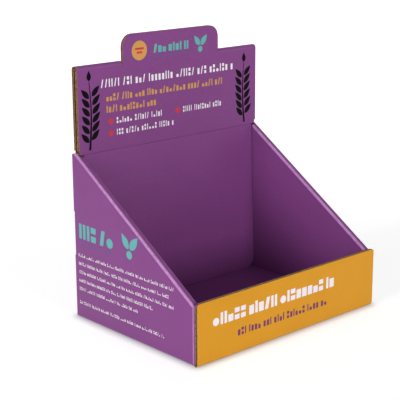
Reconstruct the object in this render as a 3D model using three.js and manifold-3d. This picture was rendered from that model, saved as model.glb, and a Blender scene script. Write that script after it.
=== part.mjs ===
import * as THREE from 'three';
import { mergeVertices } from 'three/addons/utils/BufferGeometryUtils.js';
import Module from 'manifold-3d';

const wasm = await Module();
wasm.setup();

// Sizes in mm. X runs across the lip, Y from the lip to the back, Z up from the counter.
// Board: B-flute corrugated, measured over both facings.
const board = 3.2;
const foldInside = 0.3;
const bendSteps = 6;
const glueFree = 0.3;

// Tray.
const width = 240;
const depth = 180;
const lipHeight = 59.5;
const lipSetIn = 0.4;
const lipCorner = 2.5;

// Double side walls: outer ply, top band along the slope, inner ply.
const wallThick = 7;
const slopeRise = 0.652;
const slopeMark = { fromFront: 17, height: 65.2 };
const bandRound = 2.2;
const frontEase = 6;
const rearEase = 6;
const plyEndGap = 0.5;

// Corner flaps of the outer plies, and the lock slot in each rear fold.
const frontFlap = { reach: 46, toeDrop: 16, heelDrop: 5, corner: 5 };
const rearFlap = { reach: 62, topDrop: 14, bevel: 10, corner: 6, lift: 1 };
const lockSlot = { bottom: 63.5, length: 45, bite: 3.5 };

// Header: the back panel folded forward over its shoulders, then down as the back liner.
const headerTop = 249.5;
const headerSetIn = 2.2;
const headerGap = 2;
const backSideGap = 0.4;
const notchClear = 2;
const creaseLevel = 164.5;
const linerSideGap = 0.6;
const linerLean = THREE.MathUtils.degToRad(1.8);
const linerCorner = 12;

// Stand-up tab, cut out of the shoulder fold and the rear ply.
const tab = { half: 62.8, rise: 25.5, corner: 12, slit: 0.5 };

// What follows from those sizes.
const foldOutside = board + foldInside;
const foldMiddle = foldInside + board / 2;
const quarter = Math.PI / 2;
const outerX = width / 2;
const innerX = outerX - wallThick;
const lipHalf = outerX - lipSetIn;
const backHalf = outerX - board - backSideGap;
const headerHalf = outerX - headerSetIn;
const linerHalf = innerX - linerSideGap;
const floorLevel = board + glueFree;
const backFace = depth - board;
const plySpacing = board + headerGap;
const headerFront = backFace - plySpacing - board;
const slopeAngle = Math.atan(slopeRise);
const slopeAt = (y) => slopeMark.height + (y - slopeMark.fromFront) * slopeRise;
const wallPeak = slopeAt(depth) + rearEase * (1 - 1 / Math.tan((quarter - slopeAngle) / 2));
const notchLevel = wallPeak + notchClear;

// Cutters run past the board by `past`, and open profiles are closed at `far`.
const past = 1;
const far = 2 * (headerTop + tab.rise);

function toSolid(geometry) {
  const bare = new THREE.BufferGeometry();
  bare.setAttribute('position', geometry.getAttribute('position').clone());
  if (geometry.index) bare.setIndex(geometry.index.clone());
  const merged = mergeVertices(bare, 1e-5);
  return new wasm.Manifold(new wasm.Mesh({
    numProp: 3,
    vertProperties: new Float32Array(merged.getAttribute('position').array),
    triVerts: new Uint32Array(merged.index.array),
  }));
}

// Sweeps a closed profile of [a, b] points along the third axis of a frame.
function sweep(profile, from, to, frame) {
  const outline = profile.map(([a, b]) => new THREE.Vector2(a, b));
  if (THREE.ShapeUtils.isClockWise(outline)) outline.reverse();
  const body = new THREE.ExtrudeGeometry(new THREE.Shape(outline), {
    depth: to - from, bevelEnabled: false, steps: 1,
  });
  body.translate(0, 0, from);
  body.applyMatrix4(frame);
  return toSolid(body);
}

const unitX = new THREE.Vector3(1, 0, 0);
const unitY = new THREE.Vector3(0, 1, 0);
const unitZ = new THREE.Vector3(0, 0, 1);
const sideFrame = new THREE.Matrix4().makeBasis(unitY, unitZ, unitX);
const frontFrame = new THREE.Matrix4().makeBasis(unitZ, unitX, unitY);
const planFrame = new THREE.Matrix4();
// A side view is drawn as [y, z], a front view as [x, z] and a plan as [x, y].
const fromSide = (profile, x0, x1) => sweep(profile, x0, x1, sideFrame);
const fromFront = (profile, y0, y1) => sweep(profile.map(([x, z]) => [z, x]), y0, y1, frontFrame);
const fromPlan = (profile, z0, z1) => sweep(profile, z0, z1, planFrame);
const mirrored = (profile) => profile.map(([x, z]) => [-x, z]);
const onBothSides = (profile, y0, y1) => fromFront(profile, y0, y1)
  .add(fromFront(mirrored(profile), y0, y1));

// Arc that rounds the corner between two neighbours.
function roundedCorner(before, [a, b, radius], after) {
  const here = new THREE.Vector2(a, b);
  const toBefore = new THREE.Vector2(before[0], before[1]).sub(here).normalize();
  const toAfter = new THREE.Vector2(after[0], after[1]).sub(here).normalize();
  const half = Math.acos(THREE.MathUtils.clamp(toBefore.dot(toAfter), -1, 1)) / 2;
  const centre = toBefore.clone().add(toAfter).setLength(radius / Math.sin(half)).add(here);
  const start = toBefore.multiplyScalar(radius / Math.tan(half)).add(here).sub(centre);
  const end = toAfter.multiplyScalar(radius / Math.tan(half)).add(here).sub(centre);
  const turn = Math.atan2(start.cross(end), start.dot(end));
  return Array.from({ length: bendSteps + 1 }, (_, k) => {
    const spoke = start.clone().rotateAround(new THREE.Vector2(), (turn * k) / bendSteps);
    return [centre.x + spoke.x, centre.y + spoke.y];
  });
}

// Closed outline whose corners are [a, b] or, where rounded, [a, b, radius].
function outlineOf(corners) {
  return corners.flatMap((corner, i) => {
    if (!corner[2]) return [[corner[0], corner[1]]];
    const before = corners[(i + corners.length - 1) % corners.length];
    return roundedCorner(before, corner, corners[(i + 1) % corners.length]);
  });
}

// Section through a folded strip: runs and bends laid off along the board's middle.
function foldedSection(start, heading, stages) {
  const left = [];
  const right = [];
  let [a, b] = start;
  let direction = heading;
  const mark = () => {
    const side = [-Math.sin(direction) * board / 2, Math.cos(direction) * board / 2];
    left.push([a + side[0], b + side[1]]);
    right.push([a - side[0], b - side[1]]);
  };
  const step = (length, angle) => {
    a += Math.cos(angle) * length;
    b += Math.sin(angle) * length;
  };
  mark();
  stages.forEach(({ run, bend = 0 }) => {
    step(run, direction);
    mark();
    const steps = Math.ceil((Math.abs(bend) / quarter) * bendSteps);
    for (let k = 0; k < steps; k += 1) {
      const part = bend / steps;
      step(2 * foldMiddle * Math.sin(Math.abs(part) / 2), direction + part / 2);
      direction += part;
      mark();
    }
  });
  return [...left, ...right.reverse()];
}

// Lip, base, back panel, shoulder fold, header front and liner: one strip, each at its own width.
function middleStrip() {
  const section = foldedSection([board / 2, lipHeight], -quarter, [
    { run: lipHeight - foldOutside, bend: quarter },
    { run: backFace - 2 * foldOutside, bend: quarter },
    { run: headerTop - 2 * foldOutside, bend: quarter },
    { run: plySpacing - 2 * foldMiddle, bend: quarter },
    { run: headerTop - foldOutside - creaseLevel, bend: -linerLean },
    { run: (creaseLevel - floorLevel) / Math.cos(linerLean) },
  ]);
  const lipOutline = outlineOf([
    [lipHalf, -past], [lipHalf, lipHeight, lipCorner],
    [-lipHalf, lipHeight, lipCorner], [-lipHalf, -past],
  ]);
  const outsideBack = outlineOf([
    [backHalf, -past], [backHalf, notchLevel], [headerHalf, notchLevel], [headerHalf, far],
    [far, far], [far, -past],
  ]);
  const underLiner = board + glueFree / 2;
  const outsideLiner = outlineOf([
    [linerHalf, creaseLevel], [linerHalf, floorLevel, linerCorner],
    [linerHalf - linerCorner, floorLevel], [linerHalf - linerCorner, underLiner],
    [far, underLiner], [far, creaseLevel],
  ]);
  const linerSide = [headerFront - linerCorner, backFace - board - headerGap / 2];
  const lip = fromSide(section, -outerX, outerX)
    .intersect(fromFront(lipOutline, -past, foldOutside));
  const rest = fromSide(section, -outerX, outerX)
    .intersect(fromSide([[foldOutside, -past], [foldOutside, far], [far, far], [far, -past]], -far, far))
    .subtract(onBothSides(outsideBack, foldOutside - past, depth + past))
    .subtract(onBothSides(outsideLiner, ...linerSide));
  return lip.add(rest);
}

// The tab stays in the front ply's plane. Its outline is missing from the fold and the rear ply.
function withTab(strip) {
  const tabTop = headerTop + tab.rise;
  const windowFoot = headerTop - (tab.rise - plySpacing);
  const windowHalf = tab.half + tab.slit;
  const arch = (half, foot, top) => outlineOf([
    [-half, foot], [-half, top, tab.corner], [half, top, tab.corner], [half, foot],
  ]);
  const window = fromFront(arch(windowHalf, far, windowFoot), headerFront + board, depth + past);
  const foldGap = fromFront([
    [-windowHalf, headerTop - foldOutside], [windowHalf, headerTop - foldOutside],
    [windowHalf, far], [-windowHalf, far],
  ], headerFront - past, headerFront + board + past);
  const standing = fromFront(
    arch(tab.half, headerTop - foldOutside - past, tabTop), headerFront, headerFront + board,
  );
  return strip.subtract(window).subtract(foldGap).add(standing);
}

// Side view of a wall below a line `drop` under its slope, eased at both ends.
function wallSideView(drop) {
  const lower = drop / Math.cos(slopeAngle);
  return fromSide(outlineOf([
    [board, -past], [board, slopeAt(board) - lower, frontEase],
    [depth, slopeAt(depth) - lower, rearEase], [depth, -past],
  ]), 0, far);
}

// Plan of the outer ply as it turns a vertical fold into a corner flap.
function flapPlan(face, inward, reach) {
  const along = 3 * foldOutside * inward;
  return outlineOf([
    [outerX - reach, face], [outerX, face, foldOutside], [outerX, face + along],
    [outerX - board, face + along], [outerX - board, face + board * inward, foldInside],
    [outerX - reach, face + board * inward],
  ]);
}

// Right wall; the left one is its mirror image.
function sideWall() {
  const plan = fromPlan(outlineOf([
    [0, board], [outerX, board, foldOutside], [outerX, depth, foldOutside], [0, depth],
  ]), -past, far);
  const baseRound = fromFront(outlineOf([
    [0, 0], [outerX, 0, foldOutside], [outerX, far], [0, far],
  ]), -past, depth + past);

  const baseEdge = outerX / 2;
  const bendTop = 2 * foldOutside;
  const underBack = fromPlan([
    [0, backFace - foldOutside], [outerX - foldOutside, backFace - foldOutside],
    [outerX - foldOutside, depth + past], [0, depth + past],
  ], -past, far);
  const basePly = fromFront(outlineOf([
    [baseEdge, 0], [outerX, 0, foldOutside], [outerX, bendTop],
    [outerX - board, bendTop], [outerX - board, board, foldInside], [baseEdge, board],
  ]), foldOutside, depth).intersect(plan).subtract(underBack);

  const upturnedU = outlineOf([
    [outerX, -far], [outerX, 0, bandRound], [innerX, 0, bandRound], [innerX, -far],
    [innerX + board, -far], [innerX + board, -board], [outerX - board, -board],
    [outerX - board, -far],
  ]);
  const slopeFrame = new THREE.Matrix4().makeBasis(
    unitX,
    new THREE.Vector3(0, -Math.sin(slopeAngle), Math.cos(slopeAngle)),
    new THREE.Vector3(0, -Math.cos(slopeAngle), -Math.sin(slopeAngle)),
  ).setPosition(0, slopeMark.fromFront, slopeMark.height);
  const plies = sweep(upturnedU, -far, far, slopeFrame)
    .intersect(wallSideView(0)).intersect(plan).intersect(baseRound);
  const outerPly = plies.intersect(fromPlan([
    [outerX - board, 0], [far, 0], [far, depth], [outerX - board, depth],
  ], 0, far));
  const innerFront = 2 * board + plyEndGap;
  const innerRear = headerFront - plyEndGap;
  const innerPly = plies.intersect(fromSide([
    [innerFront, floorLevel], [innerFront, far], [innerRear, far], [innerRear, floorLevel],
  ], 0, far));

  const heel = slopeAt(board) - frontFlap.heelDrop;
  const frontFace = fromFront(outlineOf([
    [outerX - frontFlap.reach, floorLevel],
    [outerX - frontFlap.reach, heel - frontFlap.toeDrop, frontFlap.corner],
    [outerX - foldOutside, heel], [far, heel], [far, foldOutside],
    [outerX - foldOutside, floorLevel],
  ]), 0, depth / 2);
  const rearTop = slopeAt(depth) - rearFlap.topDrop;
  const rearFace = fromFront(outlineOf([
    [outerX - rearFlap.reach, rearFlap.lift + rearFlap.bevel, rearFlap.corner],
    [outerX - rearFlap.reach, rearTop - rearFlap.bevel, rearFlap.corner],
    [outerX - foldOutside, rearTop], [far, rearTop], [far, rearFlap.lift],
    [outerX - foldOutside, rearFlap.lift],
  ]), depth / 2, depth + past);
  const flaps = fromPlan(flapPlan(board, 1, frontFlap.reach), 0, far).intersect(frontFace)
    .add(fromPlan(flapPlan(depth, -1, rearFlap.reach), 0, far).intersect(rearFace))
    .intersect(baseRound)
    .intersect(wallSideView(board));

  const slot = fromPlan([
    [outerX - lockSlot.bite, depth - lockSlot.bite], [far, depth - lockSlot.bite],
    [far, far], [outerX - lockSlot.bite, far],
  ], lockSlot.bottom, lockSlot.bottom + lockSlot.length);
  return basePly.add(outerPly).add(innerPly).add(flaps).subtract(slot);
}

// One folded blank, centred over the counter.
const wall = sideWall();
const blank = withTab(middleStrip()).add(wall).add(wall.mirror([1, 0, 0]))
  .translate([0, -depth / 2, 0]);

function toGeometry(solid) {
  const { vertProperties, triVerts } = solid.getMesh();
  const geometry = new THREE.BufferGeometry();
  geometry.setAttribute('position', new THREE.BufferAttribute(vertProperties, 3));
  geometry.setIndex(new THREE.BufferAttribute(triVerts, 1));
  geometry.computeVertexNormals();
  return geometry;
}

const printedBoard = new THREE.MeshStandardMaterial({ color: 0x86508a, roughness: 0.5, metalness: 0 });
const foldedBox = new THREE.Mesh(toGeometry(blank), printedBoard);
foldedBox.name = 'folded_box';

const displayBox = new THREE.Group();
displayBox.name = 'counter_display_box';
displayBox.add(foldedBox);

export default displayBox;
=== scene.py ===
import math
import random

import bmesh
import bpy
from mathutils import Matrix, Vector
from mathutils.bvhtree import BVHTree


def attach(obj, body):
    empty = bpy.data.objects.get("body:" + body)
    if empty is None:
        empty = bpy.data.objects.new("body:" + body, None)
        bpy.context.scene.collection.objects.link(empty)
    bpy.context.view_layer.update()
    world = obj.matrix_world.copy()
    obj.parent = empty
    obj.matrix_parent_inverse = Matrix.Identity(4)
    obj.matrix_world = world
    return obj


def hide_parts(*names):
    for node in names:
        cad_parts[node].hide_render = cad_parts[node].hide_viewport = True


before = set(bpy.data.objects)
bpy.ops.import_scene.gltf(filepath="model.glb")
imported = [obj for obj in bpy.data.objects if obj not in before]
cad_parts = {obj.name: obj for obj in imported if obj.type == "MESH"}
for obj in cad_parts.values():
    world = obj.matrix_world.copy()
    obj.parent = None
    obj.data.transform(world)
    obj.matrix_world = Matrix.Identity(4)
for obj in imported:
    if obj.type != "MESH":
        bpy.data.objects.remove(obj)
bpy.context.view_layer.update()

# The blank: one die-cut sheet of lined B-flute board, printed purple on both faces, with the
# lip's outer face flooded in gold ink and a satin varnish over all of it. It is creased, folded
# and glued into the tray, its double side walls and the header.
mm = 0.001
board_thick = 3.2 * mm
flute_pitch = 6.4 * mm
liner_paper = 0.45 * mm
cut_depth = 1.3 * mm
lip_face = -90 * mm
corner_flap_from = 58 * mm
rear_flap_from = 86.6 * mm
crease_level = 164.5 * mm
header_face = 78.4 * mm
header_gap = (81.3 * mm, 83.9 * mm)
gap_shade_from = 66 * mm
print_purple = (0.197, 0.05, 0.203)
print_gold = (0.61, 0.27, 0.006)


def wire(tree, kind, settings=None, **sockets):
    """A shader node in the tree, its sockets given by name, or by number as _0, _1 and _2."""
    node = tree.nodes.new("ShaderNode" + kind)
    for key, value in (settings or {}).items():
        setattr(node, key, value)
    for key, value in sockets.items():
        socket = node.inputs[int(key[1:]) if key[1:].isdigit() else key.replace("_", " ")]
        if isinstance(value, bpy.types.NodeSocket):
            tree.links.new(value, socket)
        elif socket.type == "RGBA" and len(value) == 3:
            socket.default_value = (*value, 1)
        else:
            socket.default_value = value
    return node


def new_group(name, takes, gives):
    """An effect that several materials share, with the inputs it takes and the outputs it gives."""
    tree = bpy.data.node_groups.new(name, "ShaderNodeTree")
    for title, (kind, default) in takes.items():
        socket = tree.interface.new_socket(title, in_out="INPUT", socket_type="NodeSocket" + kind)
        socket.default_value = default
    for title, kind in gives.items():
        tree.interface.new_socket(title, in_out="OUTPUT", socket_type="NodeSocket" + kind)
    return tree, tree.nodes.new("NodeGroupInput").outputs, tree.nodes.new("NodeGroupOutput")


def use_group(tree, group, **sockets):
    node = tree.nodes.new("ShaderNodeGroup")
    node.node_tree = group
    for key, value in sockets.items():
        socket = node.inputs[key]
        if isinstance(value, bpy.types.NodeSocket):
            tree.links.new(value, socket)
        else:
            socket.default_value = (*value, 1) if isinstance(value, tuple) else value
    return node.outputs


def new_material(name, **principled):
    material = bpy.data.materials.new(name)
    material.use_nodes = True
    shader = material.node_tree.nodes["Principled BSDF"]
    for key, value in principled.items():
        shader.inputs[key.replace("_", " ")].default_value = value
    return material, material.node_tree, shader.inputs


# Washboard: the faint ridges of the flutes under the printed liner, plus slack in the sheet.
ridge_height, fibre_height, slack_height = 0.006 * mm, 0.008 * mm, 0.5 * mm
washboard, given, out = new_group("washboard", {"Depth": ("Float", 1.0)}, {"Height": "Float"})
place = wire(washboard, "TexCoord").outputs["Object"]
flute = wire(washboard, "Attribute", {"attribute_name": "flute"}).outputs["Fac"]
phase = wire(washboard, "Math", {"operation": "MULTIPLY"}, _0=flute, _1=2 * math.pi / flute_pitch)
ridge = wire(washboard, "Math", {"operation": "SINE"}, _0=phase.outputs[0])
grain = wire(washboard, "TexNoise", Vector=place, Scale=1400, Detail=3, Roughness=0.6)
slack = wire(washboard, "TexNoise", Vector=place, Scale=9, Detail=2, Roughness=0.45)
ridges = wire(washboard, "Math", {"operation": "MULTIPLY"}, _0=ridge.outputs[0], _1=ridge_height)
fibres = wire(washboard, "Math", {"operation": "MULTIPLY_ADD"},
              _0=grain.outputs["Fac"], _1=fibre_height, _2=ridges.outputs[0])
relief = wire(washboard, "Math", {"operation": "MULTIPLY_ADD"},
              _0=slack.outputs["Fac"], _1=slack_height, _2=fibres.outputs[0])
scaled = wire(washboard, "Math", {"operation": "MULTIPLY"}, _0=relief.outputs[0], _1=given["Depth"])
washboard.links.new(scaled.outputs[0], out.inputs["Height"])

# Ink: a solid that covers slightly unevenly, and is thinner and paler along the folds, partly from
# cracked ink and partly as a painted highlight.
ink, given, out = new_group(
    "ink", {"Ink": ("Color", (1, 1, 1, 1)), "Stretched": ("Color", (1, 1, 1, 1)),
            "Gloss": ("Float", 0.45)},
    {"Color": "Color", "Roughness": "Float"})
place = wire(ink, "TexCoord").outputs["Object"]
cloud = wire(ink, "TexNoise", Vector=place, Scale=22, Detail=4, Roughness=0.55)
mottle = wire(ink, "TexNoise", Vector=place, Scale=900, Detail=2, Roughness=0.6)
darker = wire(ink, "MixRGB", {"blend_type": "MULTIPLY"}, Fac=1.0, Color1=given["Ink"],
              Color2=(0.95, 0.94, 0.95))
uneven = wire(ink, "MapRange", Value=cloud.outputs["Fac"], From_Min=0.35, From_Max=0.7)
covered = wire(ink, "MixRGB", Fac=uneven.outputs[0], Color1=given["Ink"],
               Color2=darker.outputs[0])
speck = wire(ink, "MapRange", Value=mottle.outputs["Fac"], From_Min=0.62, From_Max=0.85,
             To_Max=0.35)
specked = wire(ink, "MixRGB", Fac=speck.outputs[0], Color1=covered.outputs[0],
               Color2=given["Stretched"])
# Fold mark: cracked ink mixed with a painted highlight, strongest on the bends that face the lamps.
fold = wire(ink, "Attribute", {"attribute_name": "fold"}).outputs["Fac"]
cracks = wire(ink, "TexNoise", Vector=place, Scale=260, Detail=5, Roughness=0.7)
worn = wire(ink, "MapRange", Value=cracks.outputs["Fac"], From_Min=0.3, From_Max=0.75,
            To_Min=0.4, To_Max=0.9)
wear_and_highlight = wire(ink, "Math", {"operation": "MULTIPLY"}, _0=fold, _1=worn.outputs[0])
folded = wire(ink, "MixRGB", Fac=wear_and_highlight.outputs[0], Color1=specked.outputs[0],
              Color2=given["Stretched"])
rubbed = wire(ink, "Math", {"operation": "MULTIPLY_ADD"}, _0=mottle.outputs["Fac"], _1=0.12,
              _2=given["Gloss"])
ink.links.new(folded.outputs[0], out.inputs["Color"])
ink.links.new(rubbed.outputs[0], out.inputs["Roughness"])


def printed(name, colour, wear_and_highlight, gloss=0.4, shine=0.16):
    """Ink on the liner under a thin satin varnish; the second colour is where it is worn, and along
    the folds also a painted highlight.
    """
    material, tree, shader = new_material(name, Specular_IOR_Level=shine, Coat_Weight=shine / 8,
                                          Coat_Roughness=0.25)
    look = use_group(tree, ink, Ink=colour, Stretched=wear_and_highlight, Gloss=gloss)
    relief = use_group(tree, washboard, Depth=1.0)
    bump = wire(tree, "Bump", Height=relief["Height"], Distance=1.0, Strength=1.0)
    tree.links.new(look["Color"], shader["Base Color"])
    tree.links.new(look["Roughness"], shader["Roughness"])
    tree.links.new(bump.outputs[0], shader["Normal"])
    return material


# Brown paper without ink: the liners and the wavy medium at the cut edges; darker browns also paint
# the shade inside the flutes and in the header's gap.
def kraft(name, light, dark, rough):
    material, tree, shader = new_material(name, Specular_IOR_Level=0.25)
    place = wire(tree, "TexCoord").outputs["Object"]
    fibre = wire(tree, "TexNoise", Vector=place, Scale=1800, Detail=5, Roughness=0.7)
    blotch = wire(tree, "TexNoise", Vector=place, Scale=240, Detail=3, Roughness=0.6)
    both = wire(tree, "Math", {"operation": "MULTIPLY_ADD"}, _0=fibre.outputs["Fac"], _1=0.5,
                _2=blotch.outputs["Fac"])
    spread = wire(tree, "MapRange", Value=both.outputs[0], From_Min=0.5, From_Max=1.0)
    tone = wire(tree, "MixRGB", Fac=spread.outputs[0], Color1=dark, Color2=light)
    dull = wire(tree, "MapRange", Value=fibre.outputs["Fac"], To_Min=rough - 0.1, To_Max=rough + 0.1)
    bump = wire(tree, "Bump", Height=fibre.outputs["Fac"], Distance=0.0002, Strength=0.6)
    tree.links.new(tone.outputs[0], shader["Base Color"])
    tree.links.new(dull.outputs[0], shader["Roughness"])
    tree.links.new(bump.outputs[0], shader["Normal"])
    return material


purple_face = printed("purple_print", print_purple, (0.56, 0.28, 0.56))
gold_face = printed("gold_print", print_gold, (0.8, 0.5, 0.16))
liner_edge = kraft("cut_liner", (0.42, 0.25, 0.13), (0.2, 0.1, 0.05), 0.8)
# Painted shade: the dark brown of the flute hollows, seen at the bottom of each cut edge.
flute_hollow_shade = kraft("inside_of_flutes", (0.12, 0.055, 0.025), (0.035, 0.013, 0.006), 0.9)
# Painted shade: a very dark brown that stands for the shade between the header's two plies.
gap_painted_shade = kraft("gap_painted_shade", (0.07, 0.022, 0.008), (0.03, 0.009, 0.003), 0.9)
medium_paper = kraft("fluted_medium", (0.48, 0.3, 0.16), (0.25, 0.14, 0.07), 0.85)


def flute_coordinate(point, normal):
    """Where the point lies across the flutes: they run in X over the strip and in Z up the walls."""
    mostly = 0.7
    if abs(normal.x) > mostly or abs(normal.z) > mostly:
        return point.y
    between = lip_face + board_thick < point.y < rear_flap_from
    corner_flap = abs(point.x) > corner_flap_from and not between
    return point.x if corner_flap and abs(point.y - lip_face) > 0.1 * mm else point.z


def tag_flutes(mesh):
    across = mesh.loops.layers.float["flute"]
    for face in mesh.faces:
        for loop in face.loops:
            loop[across] = flute_coordinate(loop.vert.co, face.normal)


def show(name, mesh, materials):
    """Puts a piece of the box into the scene; all of them belong to the one board."""
    data = bpy.data.meshes.new(name)
    mesh.to_mesh(data)
    mesh.free()
    for material in materials:
        data.materials.append(material)
    piece = bpy.data.objects.new(name, data)
    bpy.context.scene.collection.objects.link(piece)
    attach(piece, "root")
    return piece


cad_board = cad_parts["folded_box"].data
weld_within = 0.002 * mm
flat_within = math.radians(0.4)
blank = bmesh.new()
bends = blank.faces.layers.float.new("bend")
for mask in ("flute", "fold"):
    blank.loops.layers.float.new(mask)
corners = [blank.verts.new(vertex.co) for vertex in cad_board.vertices]
for polygon in cad_board.polygons:
    blank.faces.new([corners[i] for i in polygon.vertices])
bmesh.ops.remove_doubles(blank, verts=blank.verts, dist=weld_within)
bmesh.ops.dissolve_limit(blank, angle_limit=flat_within, verts=blank.verts, edges=blank.edges)

# The score under the header: a shallow groove pressed across the front ply.
score_half_width = 0.7 * mm
score_depth = 0.35 * mm
shortest_score = 20 * mm


def on_crease(vertex):
    level = abs(vertex.co.z - crease_level) < 0.4 * mm
    return level and abs(vertex.co.y - header_face) < 0.3 * mm


score = [e for e in blank.edges if all(on_crease(v) for v in e.verts)
         and abs(e.verts[0].co.x - e.verts[1].co.x) > shortest_score]
pressed = bmesh.ops.bevel(blank, geom=score, offset=score_half_width, segments=2, affect="EDGES")
for vertex in pressed["verts"]:
    if abs(vertex.co.z - crease_level) < 0.2 * mm:
        vertex.co.y += score_depth
blank.normal_update()

# What each face shows: raw board where the sheet was cut across, gold ink on the lip's outer
# face, painted shade (a dark brown) in the header's gap, and purple ink elsewhere. The folds are
# pale, partly from cracked ink and partly as a painted highlight, and the pale is kept weaker at
# the base, at the rear, along the tops and on the right.
purple, gold, cut_liner, shaded_flutes, shaded_gap = range(5)
bend_turn, bend_length, bend_width = (0.1, 0.4), 4 * mm, 3 * mm
cut_through, cut_width, gold_width = 12 * mm, 0.55 * mm, 0.5 * mm
probe_in, probe_under = 0.25 * mm, 0.05 * mm
base_top = 3.6 * mm
low_wear_and_highlight, top_wear_and_highlight, right_wear_and_highlight = 0.1, 0.12, 0.35
facets = BVHTree.FromBMesh(blank)
raw = []
for face in blank.faces:
    face.smooth = True
    width = 2 * face.calc_area() / max(face.calc_perimeter(), 1e-9)
    hinges = [e for e in face.edges if bend_turn[0] < e.calc_face_angle(0) < bend_turn[1]
              and e.calc_length() > bend_length]
    face[bends] = float(len(hinges) > 1 and width < bend_width)
    longest = max(face.loops, key=lambda loop: loop.edge.calc_length())
    start, end = longest.vert.co, longest.link_loop_next.vert.co
    inward = face.normal.cross((end - start).normalized())
    inside = (start + end) / 2 + inward * probe_in - face.normal * probe_under
    through = facets.ray_cast(inside, -face.normal)[3] or 0
    in_gap = all(header_gap[0] < v.co.y < header_gap[1] for v in face.verts)
    if through > cut_through and width > cut_width and not face[bends]:
        raw.append(face)
    elif face.normal.y < -0.1 and start.y < lip_face + board_thick and width > gold_width:
        face.material_index = gold
    # The faces inside the header's gap get the painted shade.
    elif in_gap and max(v.co.z for v in face.verts) > crease_level:
        face.material_index = shaded_gap
    # Painted highlight on the folds: full on bends that face the lamps at the left and front, weaker
    # elsewhere.
    low_or_rear = face.calc_center_median().z < base_top or face.normal.y > 0.1
    top_edge = face.normal.z > 0.02 and abs(face.normal.x) < 0.3
    right_hand_bend = face.normal.x > 1e-6 and face.normal.z > 0.2
    if low_or_rear:
        face[bends] *= low_wear_and_highlight
    elif top_edge:
        face[bends] *= top_wear_and_highlight
    elif right_hand_bend:
        face[bends] *= right_wear_and_highlight
for face in raw:
    face.material_index = cut_liner
bmesh.ops.inset_region(blank, faces=raw, thickness=liner_paper, depth=0, use_even_offset=False)
bmesh.ops.inset_region(
    blank, faces=raw, thickness=0.02 * mm, depth=-cut_depth, use_even_offset=False)
# The sunken floor of each cut shows the painted shade of the flute hollows.
for face in raw:
    face.material_index = shaded_flutes

# Inside the header's gap the painted shade covers both sides, and the print stays behind the tab and
# its window.
for limit in (-gap_shade_from, gap_shade_from):
    reverse = [f for f in blank.faces if f.material_index == shaded_gap]
    around = [part for f in reverse for part in (*f.edges, *f.verts)]
    bmesh.ops.bisect_plane(blank, geom=list(dict.fromkeys(reverse + around)),
                           plane_co=(limit, 0, 0), plane_no=(1, 0, 0))
for face in blank.faces:
    if face.material_index == shaded_gap and abs(face.calc_center_median().x) < gap_shade_from:
        face.material_index = purple
sharp_from = math.radians(26)
for edge in blank.edges:
    edge.smooth = len(edge.link_faces) == 2 and edge.calc_face_angle(0) < sharp_from
tag_flutes(blank)
fold_mask = blank.loops.layers.float["fold"]
for face in blank.faces:
    for loop in face.loops:
        loop[fold_mask] = face[bends]
box = show("folded_blank", blank, [purple_face, gold_face, liner_edge, flute_hollow_shade, gap_painted_shade])
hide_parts("folded_box")

# The fluted medium: one wavy brown paper glued between the two liners. It is seen only where the
# board is cut across, as a wave on upright cuts and as a straight line on level ones.
paper_half = 0.16 * mm
wave = board_thick / 2 - liner_paper - 0.1 * mm
set_back, sunk = 0.12 * mm, 0.1 * mm
ring_step = 0.6 * mm
lip_ply = lip_face + board_thick / 2
front_ply = header_face + board_thick / 2
rear_ply = 85.2 * mm
flap_ply = 88.4 * mm


def rounded(corners, closed=True, steps=6):
    """Outline through corners given as (a, b) or, where rounded, (a, b, radius)."""
    points = []
    for i, corner in enumerate(corners):
        here = Vector(corner[:2])
        inner_corner = closed or 0 < i < len(corners) - 1
        if len(corner) < 3 or not inner_corner:
            points.append(here)
            continue
        before = (Vector(corners[i - 1][:2]) - here).normalized()
        after = (Vector(corners[(i + 1) % len(corners)][:2]) - here).normalized()
        half = before.angle(after) / 2
        centre = here + (before + after).normalized() * corner[2] / math.sin(half)
        first = here + before * corner[2] / math.tan(half) - centre
        sweep_angle = first.angle_signed(here + after * corner[2] / math.tan(half) - centre)
        for k in range(steps + 1):
            turned = first.copy()
            turned.rotate(Matrix.Rotation(-sweep_angle * k / steps, 2))
            points.append(centre + turned)
    return points


def along(path, step):
    """Points every step or so along a path, each with the direction of travel."""
    for start, end in zip(path, path[1:]):
        count = max(1, round((end - start).length / step))
        heading = (end - start).normalized()
        for k in range(count):
            yield start.lerp(end, k / count), heading
    yield path[-1], heading


def lay_medium(mesh, corners, middle, flutes_level):
    """Ribbon along a cut edge; the board lies to the right of the direction of travel."""
    path = rounded([[c * mm for c in corner] for corner in corners], closed=False)
    rings = []
    for point, heading in along(path, ring_step):
        inward = Vector((heading.y, -heading.x))
        phase = (point.y if flutes_level else point.x) / flute_pitch
        y = middle + wave * math.sin(2 * math.pi * phase)
        near, deep = point + inward * set_back, point + inward * (cut_depth + sunk)
        rings.append([mesh.verts.new((p.x, y + dy, p.y)) for p, dy in (
            (near, -paper_half), (near, paper_half), (deep, paper_half), (deep, -paper_half))])
    for a, b in zip(rings, rings[1:]):
        for i in range(4):
            mesh.faces.new((a[i - 1], a[i], b[i], b[i - 1]))
    mesh.faces.new(rings[0])
    mesh.faces.new(rings[-1][::-1])


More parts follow.
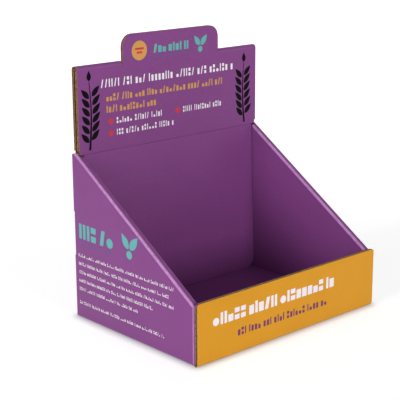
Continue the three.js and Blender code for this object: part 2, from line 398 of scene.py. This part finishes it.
# The cut edges seen from the front or the rear, in millimetres: X, Z and the corner's radius.
lip_edge = [(-119.6, 4), (-119.6, 59.5, 2.5), (119.6, 59.5, 2.5), (119.6, 4)]
tab_edge = [(-62.8, 247), (-62.8, 275, 12), (62.8, 275, 12), (62.8, 247)]
window_edge = [(63.3, 246), (63.3, 229.2, 12), (-63.3, 229.2, 12), (-63.3, 246)]
left_end_of_header = [(-117.8, 169), (-117.8, 245.6)]
right_end_of_header = [(117.8, 245.6), (117.8, 169)]
right_rear_flap = [(116, 1), (58, 11, 6), (58, 147.4, 6), (116, 157.4)]
left_rear_flap = [(-x, *rest) for x, *rest in right_rear_flap[::-1]]
medium = bmesh.new()
lay_medium(medium, lip_edge, lip_ply, True)
lay_medium(medium, tab_edge, front_ply, True)
lay_medium(medium, window_edge, rear_ply, True)
for ply in (front_ply, rear_ply):
    lay_medium(medium, left_end_of_header, ply, True)
    lay_medium(medium, right_end_of_header, ply, True)
for flap_edge in (right_rear_flap, left_rear_flap):
    lay_medium(medium, flap_edge, flap_ply, False)
bmesh.ops.recalc_face_normals(medium, faces=medium.faces)
show("fluted_medium", medium, [medium_paper])

# The print: flat inks on the header, the lip and both sides, pressed on before the sheet was cut.
# They make rows of plain marks, leaf sprays, discs, diamonds and sprouts of two leaves. The inks
# are thin films sunk a little into the liner, and their outlines are in millimetres.
film_low, film_high = -0.03 * mm, 0.02 * mm


def ink_film(name, panel, shapes, material, lift=0.0):
    """Films of one ink on a panel, which is given by its origin, its way across and its way up."""
    origin, across, upward = (Vector(v) for v in panel)
    outward = across.cross(upward)
    film = bmesh.new()
    for mask in ("flute", "fold"):
        film.loops.layers.float.new(mask)
    for outline in shapes:
        spots = [(origin + across * u + upward * v) * mm for u, v in outline]
        lower, upper = ([film.verts.new(spot + outward * (level + lift)) for spot in spots]
                        for level in (film_low, film_high))
        film.faces.new(upper)
        film.faces.new(lower[::-1])
        for i in range(len(spots)):
            film.faces.new((lower[i - 1], lower[i], upper[i], upper[i - 1]))
    bmesh.ops.recalc_face_normals(film, faces=film.faces)
    film.normal_update()
    tag_flutes(film)
    return show(name, film, [material])


def bar(left, low, right, high, corner=0.4):
    """A flat bar whose corners are a little rounded."""
    corner = min(corner, (right - left) / 2.01, (high - low) / 2.01)
    return rounded([(left, low, corner), (right, low, corner), (right, high, corner),
                    (left, high, corner)], steps=3)


def disc(u, v, radius, count=36):
    return [(u + radius * math.cos(2 * math.pi * k / count),
             v + radius * math.sin(2 * math.pi * k / count)) for k in range(count)]


def leaf(root, angle, length, breadth, count=9):
    """A pointed leaf from its root, widest a little below its middle."""
    heading = Vector((math.cos(angle), math.sin(angle)))
    sideways = Vector((-heading.y, heading.x))
    rim = [k / count for k in range(count + 1)]
    bulge = [math.sin(math.pi * t ** 0.8) * breadth / 2 for t in rim]
    there = [Vector(root) + heading * length * t + sideways * b for t, b in zip(rim, bulge)]
    back_again = [Vector(root) + heading * length * t - sideways * b
                  for t, b in zip(rim[-2:0:-1], bulge[-2:0:-1])]
    return there + back_again


def marks(left, right, low, height, seed, weight=1.0):
    """A row of plain upright marks in uneven groups, broader and closer with more weight."""
    dice = random.Random(seed)
    gap = 0.2 * height / weight
    shapes = []
    u = left
    group = dice.randint(3, 7)
    while u < right:
        kind = dice.choice("block block post post stack disc low slant".split())
        wide = {"post": 0.2, "disc": 0.5, "slant": 0.42}.get(kind, 0.4) * height * weight
        if u + wide > right:
            break
        if kind == "disc":
            shapes.append(disc(u + wide / 2, low + wide / 2, wide / 2, 14))
        elif kind == "stack":
            shapes.append(bar(u, low, u + wide, low + 0.4 * height))
            shapes.append(bar(u, low + 0.58 * height, u + wide, low + 0.98 * height))
        elif kind == "slant":
            lean = 0.2 * height
            shapes.append([(u, low), (u + wide - lean, low), (u + wide, low + height),
                           (u + lean, low + height)])
        else:
            top = {"low": 0.6, "block": 0.78, "post": 1.0}[kind]
            shapes.append(bar(u, low, u + wide, low + top * height))
        u += wide + gap
        group -= 1
        if group == 0:
            u += 1.6 * gap
            group = dice.randint(3, 8)
    return shapes


def spray(u, low, high, lean, pairs):
    """A tall upright spray of narrow leaves on a tapering stem."""
    def stem_at(t):
        return u + lean * math.sin(math.pi * 0.9 * t), low + (high - low) * t

    foot_half, taper, steps = 1.3, 0.9, 20
    upright, splay = math.radians(90), math.radians(44)
    leaf_size, tip_size = (13.5, 5.6), (10, 5.2)
    spine = [(*stem_at(k / steps), foot_half - taper * k / steps) for k in range(steps + 1)]
    shapes = [[(a - half, b) for a, b, half in spine] + [(a + half, b) for a, b, half in spine][::-1]]
    for k in range(pairs):
        a, b = stem_at(0.13 + 0.77 * k / pairs)
        for way in (-1, 1):
            shapes.append(leaf((a + 1.6 * way, b + way), upright - splay * way, *leaf_size))
    shapes.append(leaf((spine[-1][0], high + 0.5), upright, *tip_size))
    return shapes


def sprout(u, v, size):
    """A sprout of two broad leaves over a seed."""
    return [leaf((u - 0.04 * size, v - 0.12 * size), math.radians(125), 0.62 * size, 0.3 * size),
            leaf((u + 0.04 * size, v - 0.12 * size), math.radians(50), 0.66 * size, 0.32 * size),
            disc(u, v - 0.32 * size, 0.15 * size)]


def diamond(u, v, half):
    return [(u - half, v), (u, v - half * 0.8), (u + half, v), (u, v + half * 0.8)]


white_ink = printed("white_ink", (0.78, 0.74, 0.78), (0.8, 0.7, 0.8), 0.42)
teal_ink = printed("teal_ink", (0.1, 0.37, 0.36), (0.3, 0.5, 0.5), 0.42)
ochre_ink = printed("ochre_ink", (0.56, 0.28, 0.07), (0.7, 0.45, 0.2), 0.42)
red_ink = printed("red_ink", (0.5, 0.035, 0.05), (0.6, 0.2, 0.2), 0.42)
black_ink = printed("black_ink", (0.003, 0.002, 0.003), (0.02, 0.015, 0.02), 0.38, shine=0.05)
violet_ink = printed("violet_ink", (0.09, 0.085, 0.26), (0.25, 0.2, 0.4), 0.42)
plum_ink = printed("plum_ink", (0.16, 0.032, 0.1), (0.3, 0.12, 0.2), 0.42)

header = ((0, header_face / mm, 0), (1, 0, 0), (0, 0, 1))
ink_film("header_black_sprays", header,
         spray(-105, 168, 234, 2.5, 6) + spray(101, 168, 232, -2.5, 6), black_ink)
ink_film("header_white_rows", header,
         marks(-90, 84, 226.5, 8, 11, 0.85) + marks(-72, -14, 190, 6, 12, 0.8)
         + marks(14, 68, 190, 6, 13, 0.8) + marks(-72, 4, 178.5, 6, 14, 0.8), white_ink)
ink_film("header_ochre_rows", header,
         marks(-84, 70, 212.8, 7, 21) + marks(-84, -18, 201.6, 7, 22)
         + [disc(-42, 258, 9.6)], ochre_ink)
ink_film("header_red_spots", header,
         [diamond(-79, 192.8, 4.4), diamond(7, 192.8, 4.4), diamond(-79, 181.2, 4.4)], red_ink)
ink_film("seal_red_marks", header, [bar(-47.5, 258.8, -36.5, 260.8), bar(-45.5, 255, -38.5, 257)],
         red_ink, 0.02 * mm)
ink_film("header_teal_sprout", header,
         sprout(38, 258.5, 20) + marks(-24, 24, 254, 8.5, 31, 1.3), teal_ink)
ink_film("header_violet_row", header, marks(-24, 24, 249.2, 2.2, 32), violet_ink)

lip = ((0, lip_face / mm, 0), (1, 0, 0), (0, 0, 1))
ink_film("lip_white_row", lip, marks(-101, 64, 34.2, 11.4, 41, 1.35), white_ink)
ink_film("lip_plum_row", lip, marks(-70, 52, 17.6, 7.4, 42), plum_ink)

wall_face = 120
ends_and_levels = [(60, 64), (52, 55.4), (62, 46.8), (30, 38.2), (8, 29.6), (46, 15.4)]
white_rows = []
for seed, (end, level) in enumerate(ends_and_levels, start=61):
    white_rows += marks(-82, end, level, 3.4, seed, 0.75)
side_print = {
    "teal_sprout": (sprout(-3, 92, 27) + marks(-80, -24, 83, 15, 51, 1.3), teal_ink),
    "violet_row": (marks(-80, -24, 77.2, 2.6, 52), violet_ink),
    "white_rows": (white_rows, white_ink),
}
for side_name, way in (("left", 1), ("right", -1)):
    panel = ((-way * wall_face, 0, 0), (0, -way, 0), (0, 0, 1))
    for print_name, (shapes, side_ink) in side_print.items():
        mirrored = [[(way * u, v) for u, v in shape] for shape in shapes]
        ink_film(side_name + "_" + print_name, panel, mirrored, side_ink)

# The ground of the picture: a wide sheet of matt white paper that lies flat under the box. It
# glows, a painted light that grows towards white with the distance, and its glow is cut down under
# the box and close around it as a painted contact shadow.
under_the_box = (0.115, 0.085, 0)
shadow_reach = 0.015
sweep = bmesh.new()
bmesh.ops.create_grid(sweep, x_segments=8, y_segments=8, size=6)
floor_data = bpy.data.meshes.new("floor")
sweep.to_mesh(floor_data)
sweep.free()
floor = bpy.data.objects.new("floor", floor_data)
bpy.context.scene.collection.objects.link(floor)
paper, tree, shader = new_material("studio_paper", Specular_IOR_Level=0.0, Roughness=0.9,
                                   Emission_Strength=1.0)
place = wire(tree, "TexCoord").outputs["Object"]
cloud = wire(tree, "TexNoise", Vector=place, Scale=3, Detail=2)
tone = wire(tree, "MixRGB", Fac=cloud.outputs["Fac"], Color1=(0.55, 0.55, 0.55),
            Color2=(0.58, 0.58, 0.58))
away = wire(tree, "VectorMath", {"operation": "LENGTH"}, _0=place)
# Painted light: the glow brightens with distance from the box, evening out the lamps' fall-off.
lit = wire(tree, "MapRange", Value=away.outputs["Value"], From_Min=0.25, From_Max=2.5)
reach = wire(tree, "VectorMath", {"operation": "ABSOLUTE"}, _0=place)
beyond = wire(tree, "VectorMath", {"operation": "SUBTRACT"}, _0=reach.outputs[0],
              _1=under_the_box)
outside = wire(tree, "VectorMath", {"operation": "MAXIMUM"}, _0=beyond.outputs[0], _1=(0, 0, 0))
apart = wire(tree, "VectorMath", {"operation": "LENGTH"}, _0=outside.outputs[0])
# Painted contact shadow: the glow fades to a quarter under the box and close around it.
painted_contact_shadow = wire(tree, "MapRange", {"interpolation_type": "SMOOTHSTEP"},
                  Value=apart.outputs["Value"], From_Min=0.0, From_Max=shadow_reach, To_Min=0.25)
spread = wire(tree, "MixRGB", Fac=lit.outputs[0], Color1=(0.66, 0.66, 0.66), Color2=(1, 1, 1))
glow = wire(tree, "MixRGB", Fac=painted_contact_shadow.outputs[0], Color1=(0, 0, 0),
            Color2=spread.outputs[0])
tree.links.new(tone.outputs[0], shader["Base Color"])
tree.links.new(glow.outputs[0], shader["Emission Color"])
floor.data.materials.append(paper)

# The camera and the lamps: a long lens to the left of the front and a little above, a soft box at
# each side of it, and weaker ones over the box, at the corner, on the right and behind.
aim = Vector((-0.0252, 0.0100, 0.1174))
stand_back = 1.1198
picture_width, focal_length = 400, 1150.8
room_light = 0.06
turn, rise, roll = (math.radians(a) for a in (-42.15, 15.06, -0.28))
back = Vector((math.sin(turn) * math.cos(rise), -math.cos(turn) * math.cos(rise), math.sin(rise)))
side = (-back).cross(Vector((0, 0, 1))).normalized()
over = side.cross(-back)
across = side * math.cos(roll) + over * math.sin(roll)
upward = over * math.cos(roll) - side * math.sin(roll)
camera = bpy.data.objects.new("camera", bpy.data.cameras.new("camera"))
camera.data.sensor_width = 36
camera.data.lens = camera.data.sensor_width * focal_length / picture_width
camera.matrix_world = Matrix.Translation(aim + back * stand_back) @ Matrix(
    (across, upward, back)).transposed().to_4x4()
bpy.context.scene.collection.objects.link(camera)
bpy.context.scene.camera = camera

lamps = {
    "left_box": ((-3.2, -0.1, 1.15), 1.2, 69),
    "front_box": ((-0.1, -3.4, 0.85), 1.2, 59),
    "corner_box": ((-2.3, -2.5, 1.1), 1.2, 13),
    "top_box": ((0.0, 0.0, 3.0), 2.0, 12),
    "right_fill": ((2.2, 0.9, 1.1), 1.4, 10),
    "rear_fill": ((0.5, 2.4, 1.2), 1.4, 18),
}
for name, (where, size, power) in lamps.items():
    lamp = bpy.data.objects.new(name, bpy.data.lights.new(name, "AREA"))
    lamp.data.size = size
    lamp.data.energy = power
    lamp.location = where
    lamp.rotation_euler = (aim - Vector(where)).to_track_quat("-Z", "Y").to_euler()
    bpy.context.scene.collection.objects.link(lamp)
world = bpy.data.worlds.new("studio")
world.use_nodes = True
room = world.node_tree.nodes["Background"].inputs
room["Color"].default_value = (1, 1, 1, 1)
room["Strength"].default_value = room_light
bpy.context.scene.world = world
bpy.context.scene.view_settings.view_transform = "Standard"
